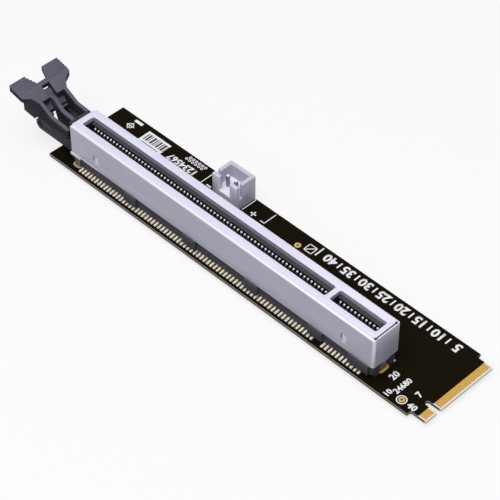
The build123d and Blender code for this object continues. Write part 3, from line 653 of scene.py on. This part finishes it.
def ring(x, y, radius, width, sides=40):
    """A flat printed ring in millimetres."""
    bpy.ops.object.select_all(action="DESELECT")
    place = (x * MM, y * MM, TOP_Z + INK_LIFT)
    bpy.ops.mesh.primitive_circle_add(vertices=sides, radius=radius * MM, location=place)
    piece = bpy.context.active_object
    bpy.ops.object.mode_set(mode="EDIT")
    bpy.ops.mesh.select_all(action="SELECT")
    bpy.ops.mesh.extrude_edges_move()
    factor = (radius - width) / radius
    bpy.ops.transform.resize(value=(factor, factor, 1.0), center_override=place)
    bpy.ops.object.mode_set(mode="OBJECT")
    return piece


NUMBER_WEIGHT = 0.036


def number(text, x, y, size, turn=180.0):
    """A plain number in flat mesh, in millimetres, read from the far side when turned by 180."""
    bpy.ops.object.select_all(action="DESELECT")
    bpy.ops.object.text_add(location=(x * MM, y * MM, TOP_Z + INK_LIFT))
    piece = bpy.context.active_object
    piece.data.body = text
    piece.data.align_x = "CENTER"
    piece.data.align_y = "CENTER"
    piece.data.size = size * MM
    piece.data.offset = size * NUMBER_WEIGHT * MM
    piece.data.resolution_u = 2
    piece.rotation_euler = (0.0, 0.0, math.radians(turn))
    bpy.ops.object.convert(target="MESH")
    return bpy.context.active_object


def thicken(piece):
    """Give a flat print its thickness downwards."""
    only(piece)
    bpy.ops.object.mode_set(mode="EDIT")
    bpy.ops.mesh.select_all(action="SELECT")
    bpy.ops.mesh.normals_make_consistent(inside=False)
    bpy.ops.object.mode_set(mode="OBJECT")
    if piece.data.polygons[0].normal.z < 0:
        bpy.ops.object.mode_set(mode="EDIT")
        bpy.ops.mesh.flip_normals()
        bpy.ops.object.mode_set(mode="OBJECT")
    solid = piece.modifiers.new("Print thickness", "SOLIDIFY")
    solid.thickness = INK_THICKNESS
    solid.offset = -1.0
    bpy.ops.object.modifier_apply(modifier=solid.name)


def finish_print(pieces, name, material):
    """Join flat prints, thicken them and let them ride on the card."""
    piece = join(pieces, name)
    thicken(piece)
    paint(piece, material)
    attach(piece, "adapter")


# Settings


class ShellSettings(bpy.types.PropertyGroup):
    """Sheet metal shell."""

    tone: bpy.props.FloatVectorProperty(
        name="Sheet tone", description="Colour of the satin sheet", subtype="COLOR", size=4,
        default=shade(222, 220, 242), min=0.0, max=1.0,
    )
    edge: bpy.props.FloatProperty(
        name="Deburred edge", description="Rounding of the sheet's cut edges", unit="LENGTH",
        default=0.06 * MM, min=0.0, precision=5,
    )
    rim_height: bpy.props.FloatProperty(
        name="Rim height", description="Height of the shell's cut rim over the board",
        unit="LENGTH", default=3.3 * MM, min=0.0, precision=5,
    )


class MouldingSettings(bpy.types.PropertyGroup):
    """Black mouldings: slot housing and latch."""

    housing_tone: bpy.props.FloatVectorProperty(
        name="Housing tone", description="Colour of the slot housing", subtype="COLOR", size=4,
        default=shade(80, 80, 92), min=0.0, max=1.0,
    )
    latch_tone: bpy.props.FloatVectorProperty(
        name="Latch tone", description="Colour of the latch lever", subtype="COLOR", size=4,
        default=shade(98, 96, 109), min=0.0, max=1.0,
    )
    housing_edge: bpy.props.FloatProperty(
        name="Housing edge", description="Rounding of the housing's edges", unit="LENGTH",
        default=0.05 * MM, min=0.0, precision=5,
    )
    latch_edge: bpy.props.FloatProperty(
        name="Latch edge", description="Rounding of the latch's edges", unit="LENGTH",
        default=0.06 * MM, min=0.0, precision=5,
    )


class HeaderSettings(bpy.types.PropertyGroup):
    """Power header."""

    tone: bpy.props.FloatVectorProperty(
        name="Nylon tone", description="Colour of the header's housing", subtype="COLOR", size=4,
        default=shade(206, 204, 222), min=0.0, max=1.0,
    )
    edge: bpy.props.FloatProperty(
        name="Nylon edge", description="Rounding of the header's rims", unit="LENGTH",
        default=0.08 * MM, min=0.0, precision=5,
    )


class BoardSettings(bpy.types.PropertyGroup):
    """Circuit board, its platings and solder."""

    mask_tone: bpy.props.FloatVectorProperty(
        name="Mask tone", description="Colour of the solder mask", subtype="COLOR", size=4,
        default=shade(19, 15, 6), min=0.0, max=1.0,
    )
    laminate_tone: bpy.props.FloatVectorProperty(
        name="Laminate tone", description="Colour of the cut laminate", subtype="COLOR", size=4,
        default=shade(196, 190, 188), min=0.0, max=1.0,
    )
    gold_tone: bpy.props.FloatVectorProperty(
        name="Gold tone", description="Colour of the gold plating", subtype="COLOR", size=4,
        default=shade(232, 188, 92), min=0.0, max=1.0,
    )
    solder_tone: bpy.props.FloatVectorProperty(
        name="Solder tone", description="Colour of the contacts' solder beads", subtype="COLOR",
        size=4, default=shade(255, 252, 242), min=0.0, max=1.0,
    )
    bead_width: bpy.props.FloatProperty(
        name="Bead width", description="Width of a contact's solder bead", unit="LENGTH",
        default=0.56 * MM, min=0.0, precision=5,
    )


class PrintSettings(bpy.types.PropertyGroup):
    """Printed marks."""

    tone: bpy.props.FloatVectorProperty(
        name="Ink tone", description="Colour of the printed marks", subtype="COLOR", size=4,
        default=shade(252, 251, 255), min=0.0, max=1.0,
    )
    number_size: bpy.props.FloatProperty(
        name="Number size", description="Height of the scale's numbers in millimetres",
        default=3.2, min=0.5, max=4.0,
    )


class StudioSettings(bpy.types.PropertyGroup):
    """Camera, lights and floor."""

    azimuth: bpy.props.FloatProperty(
        name="Azimuth", description="Camera's turn round the object", subtype="ANGLE",
        default=math.radians(45.16),
    )
    elevation: bpy.props.FloatProperty(
        name="Elevation", description="Camera's angle above the horizon", subtype="ANGLE",
        default=math.radians(44.95),
    )
    distance: bpy.props.FloatProperty(
        name="Distance", description="Camera's distance", unit="LENGTH", default=418.72 * MM,
    )
    key_power: bpy.props.FloatProperty(
        name="Key power", description="Power that each soft light takes a share or multiple of",
        unit="POWER", default=0.4,
    )


SETTINGS = {
    "card_shell": ShellSettings,
    "card_mouldings": MouldingSettings,
    "card_header": HeaderSettings,
    "card_board": BoardSettings,
    "card_print": PrintSettings,
    "card_studio": StudioSettings,
}


# Pieces


class FinishBoard(bpy.types.Operator):
    """Give the board, its platings and its pads their materials"""

    bl_idname = "edgecard.finish_board"
    bl_label = "Finish board"

    def execute(self, context):
        """Paint the CAD nodes that stay as they are."""
        settings = context.scene.card_board
        mask, laminate = tuple(settings.mask_tone), tuple(settings.laminate_tone)
        gold = tuple(settings.gold_tone)
        plating = plated_material(
            "Gold plating", gold, shade(218, 170, 76), (0.28, 0.4), metallic=0.2,
        )
        tin = plated_material(
            "Tinned copper", shade(214, 200, 166), shade(190, 170, 128), (0.3, 0.46), metallic=0.0,
        )
        solder = plated_material(
            "Solder", shade(214, 214, 220), shade(188, 188, 196), (0.2, 0.34), 1400.0,
        )
        paint_nodes(board_material(mask, laminate), "circuit_board")
        paint_nodes(plating, "edge_fingers_top", "edge_fingers_under")
        paint_nodes(plating, "screw_ring_top", "screw_ring_under")
        paint_nodes(test_pad_material(gold), "test_pads")
        paint_nodes(leg_ring_material(gold), "leg_rings")
        paint_nodes(tin, *[f"contact_pads_{row}" for row in CONTACT_ROWS])
        paint_nodes(solder, "pin_solder", "leg_solder")
        return {"FINISHED"}


BEAD_LENGTH, BEAD_HEIGHT = 0.95 * MM, 0.34 * MM
BEAD_INSET, BEAD_LIFT = 0.34 * MM, 0.03 * MM


class AddSolderBeads(bpy.types.Operator):
    """Add a solder bead at the toe of every slot contact"""

    bl_idname = "edgecard.add_solder_beads"
    bl_label = "Solder beads"

    def execute(self, context):
        """Model one bead and copy it to each contact."""
        settings = context.scene.card_board
        tin = plated_material(
            "Solder bead", tuple(settings.solder_tone), shade(255, 247, 230), (0.22, 0.4),
            metallic=0.0,
        )
        pattern = self.half_bead(settings.bead_width)
        for side, outward in (("near", -1), ("far", 1)):
            beads = []
            for run in ("long", "short"):
                low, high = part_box(f"slot_contacts_{side}_{run}")
                toe = low.y if outward < 0 else high.y
                for index in range(round((high.x - low.x) / CONTACT_PITCH) + 1):
                    only(pattern)
                    bpy.ops.object.duplicate()
                    bead = bpy.context.active_object
                    bead.location = (
                        low.x + CONTACT_HALF_WIDTH + index * CONTACT_PITCH,
                        toe - outward * BEAD_INSET,
                        TOP_Z + BEAD_LIFT,
                    )
                    beads.append(bead)
            piece = join(beads, f"solder_beads_{side}")
            paint(piece, tin)
            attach(piece, "adapter")
        only(pattern)
        bpy.ops.object.delete()
        return {"FINISHED"}

    def half_bead(self, width):
        """Cut a ball in half at unit size, then bring it to the bead's size."""
        bpy.ops.object.select_all(action="DESELECT")
        bpy.ops.mesh.primitive_uv_sphere_add(segments=10, ring_count=6, radius=0.5)
        bead = bpy.context.active_object
        middle = (0, 0, 0)
        bpy.ops.object.mode_set(mode="EDIT")
        bpy.ops.mesh.select_all(action="SELECT")
        bpy.ops.mesh.bisect(plane_co=middle, plane_no=(0, 0, 1), use_fill=True, clear_inner=True)
        bpy.ops.mesh.select_all(action="SELECT")
        bpy.ops.transform.resize(value=(width, BEAD_LENGTH, BEAD_HEIGHT), center_override=middle)
        bpy.ops.object.mode_set(mode="OBJECT")
        bpy.ops.object.shade_smooth()
        return bead


class FinishShell(bpy.types.Operator):
    """Round the sheet shell's cut edges and give it its satin finish"""

    bl_idname = "edgecard.finish_shell"
    bl_label = "Sheet shell"

    def execute(self, context):
        """Replace the plain shell by its softened copy."""
        settings = context.scene.card_shell
        piece = softened_copy("slot_shell", "folded_shell", settings.edge)
        paint(piece, satin_sheet_material(tuple(settings.tone), (TOP_Z + settings.rim_height) / MM))
        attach(piece, "adapter")
        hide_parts("slot_shell")
        return {"FINISHED"}


class FinishHousing(bpy.types.Operator):
    """Finish the slot housing and its contacts"""

    bl_idname = "edgecard.finish_housing"
    bl_label = "Slot housing"

    def execute(self, context):
        """Replace the plain housing by its softened copy and paint the contacts."""
        settings = context.scene.card_mouldings
        piece = softened_copy("slot_housing", "moulded_housing", settings.housing_edge)
        low, high = (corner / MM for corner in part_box("slot_shell"))
        left, right, top = low.x, high.x, high.z
        # Painted highlight on rim; painted shade in split end, wells, fork; paler foot: tint, range
        # in x, range in z, fade
        tints = (
            (shade(190, 192, 200), (left, right - 1.5), (top - 1.05, top + 1), 0.06),
            (shade(22, 22, 28), (right - 1.45, FAR), (top - 3, top + 1), 0.06),
            (shade(48, 48, 56), (left, FAR), (5, top - 1.0), 0.06),
            (shade(84, 84, 94), (left, FAR), (-1, 3.6), 0.3),
            (shade(54, 53, 62), (-FAR, left - 0.1), (-1, 20), 0.1),
        )
        # Painted shade on upright faces and painted highlight on the edges.
        housing = moulded_material(
            "Housing moulding", tuple(settings.housing_tone), shade(88, 88, 100), (0.45, 0.6),
            shade(112, 112, 124), highlight_share=0.3, upright=0.6, tints=tints,
        )
        paint(piece, housing)
        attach(piece, "adapter")
        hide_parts("slot_housing")
        paint_nodes(contact_material(), *[f"slot_contacts_{row}" for row in CONTACT_ROWS])
        return {"FINISHED"}


class FinishLatch(bpy.types.Operator):
    """Round the latch lever's edges and give it its black satin finish"""

    bl_idname = "edgecard.finish_latch"
    bl_label = "Latch lever"

    def execute(self, context):
        """Replace the plain lever by its softened copy."""
        settings = context.scene.card_mouldings
        piece = softened_copy("latch_lever", "moulded_latch", settings.latch_edge)
        # Painted shade on upright faces and painted highlight on the edges.
        latch = moulded_material(
            "Latch moulding", tuple(settings.latch_tone), shade(106, 104, 117), (0.5, 0.62),
            shade(116, 114, 126), highlight_share=0.2, upright=0.18, specular=0.03,
        )
        paint(piece, latch)
        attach(piece, "latch")
        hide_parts("latch_lever")
        return {"FINISHED"}


class FinishHeader(bpy.types.Operator):
    """Finish the power header and its two pins"""

    bl_idname = "edgecard.finish_header"
    bl_label = "Power header"

    def execute(self, context):
        """Replace the plain header by its softened copy and paint the pins."""
        settings = context.scene.card_header
        piece = softened_copy("header_housing", "moulded_header", settings.edge)
        paint(piece, nylon_material(tuple(settings.tone)))
        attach(piece, "adapter")
        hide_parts("header_housing")
        paint_nodes(post_material(), "header_pin_1", "header_pin_2")
        return {"FINISHED"}


# Printed marks, in millimetres and degrees. Bars: x, y, length, width, turn. Rings: x, y, radius,
# width, sides. Numbers: text, x, y, size, turn. Stripes: width and the gap after it.
SCALE_Y, SCALE_STEP, SCALE_COUNT = 9.05, 5, 8
FIRST_NUMBER_X, FIRST_TICK_X = -8.4, -10.9
TICK_WIDTH, TICK_LENGTH, END_LINE_X, END_LINE_LENGTH = 0.35, 1.8, -46.7, 2.8
TARGET_X, TARGET_Y = -104.2, 7.9
LABEL_BARS = (
    (-96.2, 7.6, 7.1, 4.2), (-103.5, 9.9, 2.4, 0.8),
    (TARGET_X, TARGET_Y, 2.3, 0.2), (TARGET_X, TARGET_Y, 0.2, 2.3),
)
STRIPE_START, STRIPE_Y, STRIPE_LENGTH = -99.1, 8.0, 2.2
LONG_STRIPE = (-96.2, 6.15, 5.2, 0.3)
STRIPES = (
    (0.3, 0.3), (0.5, 0.25), (0.2, 0.4), (0.6, 0.3), (0.3, 0.25),
    (0.2, 0.3), (0.5, 0.35), (0.3, 0.25), (0.6, 0.3), (0.2, 0.25),
)
SIGN_NUMBERS = (
    ("1234567", -86.6, 7.3, 2.5), ("890123456", -86.0, 5.6, 1.7),
    ("20", -12.3, -5.4, 2.2, 90.0), ("40", -4.4, -9.1, 2.1, 0.0), ("10", -10.2, -9.7, 1.9, 90.0),
    ("24680", -9.3, -6.3, 1.9, 90.0), ("7", -5.5, -5.7, 2.1, 90.0),
)
SQUARE_X, SQUARE_Y, SQUARE_HALF = -48.6, 8.3, 1.05
SIGN_BARS = (
    (-79.7, 8.1, 0.22, 4.4), (-67.25, 8.6, 0.22, 4.2), (-73.5, 10.85, 12.4, 0.2),
    (-64.6, 7.3, 1.5, 0.35), (-64.6, 7.3, 0.35, 1.5), (-77.6, 6.6, 1.4, 0.35),
    (-60.95, 8.7, 0.22, 3.6), (-61.5, 6.9, 1.3, 0.22),
    (SQUARE_X, SQUARE_Y + SQUARE_HALF, 2.3, 0.22, 0.0),
    (SQUARE_X, SQUARE_Y - SQUARE_HALF, 2.3, 0.22, 0.0),
    (SQUARE_X + SQUARE_HALF, SQUARE_Y, 2.3, 0.22, 90.0),
    (SQUARE_X - SQUARE_HALF, SQUARE_Y, 2.3, 0.22, 90.0),
    (SQUARE_X, SQUARE_Y, 2.5, 0.25, 45.0),
)
SIGN_RINGS = ((-7.1, -9.1, 1.15, 0.22), (-15.1, -2.5, 0.3, 0.29))
HEXAGON_X, HEXAGON_Y, HEXAGON_STEP, ROW_SHIFT, ROW_STEP = -87.4, 9.3, 0.95, 0.45, 0.8


class PrintMarks(bpy.types.Operator):
    """Print the board's plain marks: a scale, a label block, polarity signs and outlines"""

    bl_idname = "edgecard.print_marks"
    bl_label = "Printed marks"

    def execute(self, context):
        """Draw each mark flat, then join and thicken them."""
        settings = context.scene.card_print
        ink = ink_material(tuple(settings.tone))
        dark = ink_material(shade(40, 38, 44))
        self.print_scale(ink, settings.number_size)
        self.print_label(ink, dark)
        self.print_signs(ink)
        return {"FINISHED"}

    def print_scale(self, ink, size):
        """A millimetre scale in one bold row beside the slot, read from the far side."""
        pieces = [bar(END_LINE_X, SCALE_Y, TICK_WIDTH, END_LINE_LENGTH)]
        for step in range(SCALE_COUNT):
            along = step * SCALE_STEP
            pieces.append(number(str(along + SCALE_STEP), FIRST_NUMBER_X - along, SCALE_Y, size))
            if step < SCALE_COUNT - 1:
                pieces.append(bar(FIRST_TICK_X - along, SCALE_Y, TICK_WIDTH, TICK_LENGTH))
        finish_print(pieces, "printed_scale", ink)

    def print_label(self, ink, dark):
        """A pale block with plain stripes, a cross target and a short bar."""
        pieces = [bar(*values) for values in LABEL_BARS]
        pieces.append(ring(TARGET_X, TARGET_Y, 0.85, 0.22))
        finish_print(pieces, "printed_label", ink)
        stripes = []
        place = STRIPE_START
        for width, gap in STRIPES:
            stripes.append(bar(place + width / 2, STRIPE_Y, width, STRIPE_LENGTH, z=STRIPE_Z))
            place += width + gap
        stripes.append(bar(*LONG_STRIPE, z=STRIPE_Z))
        finish_print(stripes, "printed_stripes", dark)

    def print_signs(self, ink):
        """Numbers, polarity signs, outlines and rings over the rest of the board."""
        pieces = [number(*values) for values in SIGN_NUMBERS]
        pieces += [bar(*values) for values in SIGN_BARS]
        pieces += [ring(*values) for values in SIGN_RINGS]
        for place in range(6):
            for row in range(2):
                x = HEXAGON_X + HEXAGON_STEP * place + ROW_SHIFT * row
                pieces.append(ring(x, HEXAGON_Y + ROW_STEP * row, 0.4, 0.2, 6))
        finish_print(pieces, "printed_signs", ink)


# The fitted camera: its focal length in pixels of the 500 pixel frame, and how far it stands to
# the left of and above the line to its aim, in millimetres
FOCAL_PIXELS, FRAME_PIXELS, SENSOR_WIDTH = 2009.23, 500.0, 36.0
AIM_X, SHIFT_LEFT, SHIFT_UP = -50.0, 5.85, 3.24

# Name, place from the card's middle and size in metres, and share of the key power
LAMPS = (
    ("Overhead light", (0.07, -0.19, 0.62), 0.6, 8.3),
    ("Front light", (-0.06, -0.68, 0.42), 0.5, 1.0),
    ("Right fill", (0.5, -0.3, 0.45), 0.5, 0.12),
)

# Surround and floor as lights, then the floor's own white and its glow where they are seen
DIM, FLOOR_WHITE, FLOOR_GLOW = 0.3, 0.92, 0.74


def backdrop_rays(tree):
    """1 for camera, gloss and transmission rays, which see the white backdrop, otherwise 0."""
    rays = add_node(tree, "ShaderNodeLightPath", (-900, 200)).outputs
    seen = calculate(
        tree, "MAXIMUM", (-700, 100), rays["Is Camera Ray"], rays["Is Glossy Ray"],
    )
    return calculate(tree, "MAXIMUM", (-550, 100), seen, rays["Is Transmission Ray"])


class SetUpStudio(bpy.types.Operator):
    """Add the camera, the soft lights, the white surround and the floor"""

    bl_idname = "edgecard.set_up_studio"
    bl_label = "Studio"

    def execute(self, context):
        """Build the stage round the object."""
        settings = context.scene.card_studio
        scene = context.scene
        scene.view_settings.view_transform = "Standard"
        self.add_camera(scene, settings)
        self.add_lights(settings)
        self.add_surround(scene)
        self.add_floor()
        return {"FINISHED"}

    def add_camera(self, scene, settings):
        """Camera at the fitted angle, distance and lens."""
        azimuth, elevation = settings.azimuth, settings.elevation
        level = math.cos(elevation)
        back = Vector((math.sin(azimuth) * level, -math.cos(azimuth) * level, math.sin(elevation)))
        right = Vector((math.cos(azimuth), math.sin(azimuth), 0.0))
        up = back.cross(right)
        aim = Vector((AIM_X * MM, 0.0, TOP_Z))
        place = aim + back * settings.distance - right * SHIFT_LEFT * MM + up * SHIFT_UP * MM
        bpy.ops.object.select_all(action="DESELECT")
        turn = (math.pi / 2 - elevation, 0.0, azimuth)
        bpy.ops.object.camera_add(location=place, rotation=turn)
        camera = bpy.context.active_object
        camera.name = "Photo camera"
        camera.data.sensor_width = SENSOR_WIDTH
        camera.data.lens = FOCAL_PIXELS * SENSOR_WIDTH / FRAME_PIXELS
        camera.data.clip_start = 0.01
        camera.data.clip_end = 20.0
        scene.camera = camera

    def add_lights(self, settings):
        """A wide overhead light, a broad light from the front and a weak fill from the right."""
        for name, offset, size, share in LAMPS:
            place = Vector(offset)
            bpy.ops.object.select_all(action="DESELECT")
            bpy.ops.object.light_add(type="AREA", location=Vector((MIDDLE_X, 0.0, 0.0)) + place)
            lamp = bpy.context.active_object
            lamp.name = name
            lamp.data.shape = "DISK"
            lamp.data.size = size
            lamp.data.energy = settings.key_power * share
            lamp.rotation_euler = (-place).to_track_quat("-Z", "Y").to_euler()

    def add_surround(self, scene):
        """White to the camera and in reflections, dimmer as a light."""
        world = bpy.data.worlds.new("White surround")
        scene.world = world
        world.use_nodes = True
        tree = world.node_tree
        background = tree.nodes["Background"]
        background.inputs["Color"].default_value = (1.0, 1.0, 1.0, 1.0)
        strength = spread_over(tree, backdrop_rays(tree), DIM, 1.0, (-200, 100))
        tree.links.new(strength, background.inputs["Strength"])

    def add_floor(self):
        """Plain pale floor just under the lowest leg, which keeps the object's soft shadow."""
        bpy.ops.object.select_all(action="DESELECT")
        height = CAD_BOX[0][2] - 0.02 * MM
        bpy.ops.mesh.primitive_plane_add(size=8.0, location=(MIDDLE_X, 0.0, height))
        floor = bpy.context.active_object
        floor.name = "Floor"
        material, tree, shader = start_material("Pale floor", 0.9, specular=0.0)
        seen = backdrop_rays(tree)
        tone = spread_over(tree, seen, DIM, FLOOR_WHITE, (-350, 200))
        tree.links.new(tone, shader.inputs["Base Color"])
        glow = calculate(tree, "MULTIPLY", (-350, -50), seen, FLOOR_GLOW)
        white = add_node(tree, "ShaderNodeEmission", (0, -250))
        blend = add_node(tree, "ShaderNodeMixShader", (250, 100))
        tree.links.new(glow, blend.inputs["Fac"])
        tree.links.new(shader.outputs["BSDF"], blend.inputs[1])
        tree.links.new(white.outputs["Emission"], blend.inputs[2])
        output = tree.nodes["Material Output"]
        tree.links.new(blend.outputs["Shader"], output.inputs["Surface"])
        paint(floor, material)


OPERATORS = (
    FinishBoard,
    AddSolderBeads,
    FinishShell,
    FinishHousing,
    FinishLatch,
    FinishHeader,
    PrintMarks,
    SetUpStudio,
)


class EdgeCardPanel(bpy.types.Panel):
    """Sidebar panel with the card's steps and settings"""

    bl_idname = "VIEW3D_PT_edge_card"
    bl_label = "Edge card adapter"
    bl_space_type = "VIEW_3D"
    bl_region_type = "UI"
    bl_category = "Edge Card"

    def draw(self, context):
        """List the steps, then the settings."""
        layout = self.layout
        for operator in OPERATORS:
            layout.operator(operator.bl_idname)
        for name in SETTINGS:
            box = layout.box()
            group = getattr(context.scene, name)
            box.label(text=group.bl_rna.description or name)
            for key in group.__annotations__:
                box.prop(group, key)


def register():
    """Register the classes and hang the settings on the scene."""
    for settings in SETTINGS.values():
        bpy.utils.register_class(settings)
    for operator in OPERATORS:
        bpy.utils.register_class(operator)
    bpy.utils.register_class(EdgeCardPanel)
    for name, settings in SETTINGS.items():
        setattr(bpy.types.Scene, name, bpy.props.PointerProperty(type=settings))


def unregister():
    """Take the settings and the classes away again."""
    for name in SETTINGS:
        delattr(bpy.types.Scene, name)
    bpy.utils.unregister_class(EdgeCardPanel)
    for operator in reversed(OPERATORS):
        bpy.utils.unregister_class(operator)
    for settings in SETTINGS.values():
        bpy.utils.unregister_class(settings)


def main():
    """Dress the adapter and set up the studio."""
    register()
    bpy.ops.edgecard.set_up_studio()
    bpy.ops.edgecard.finish_board()
    bpy.ops.edgecard.add_solder_beads()
    bpy.ops.edgecard.finish_shell()
    bpy.ops.edgecard.finish_housing()
    bpy.ops.edgecard.finish_latch()
    bpy.ops.edgecard.finish_header()
    bpy.ops.edgecard.print_marks()


if __name__ == "__main__":
    main()
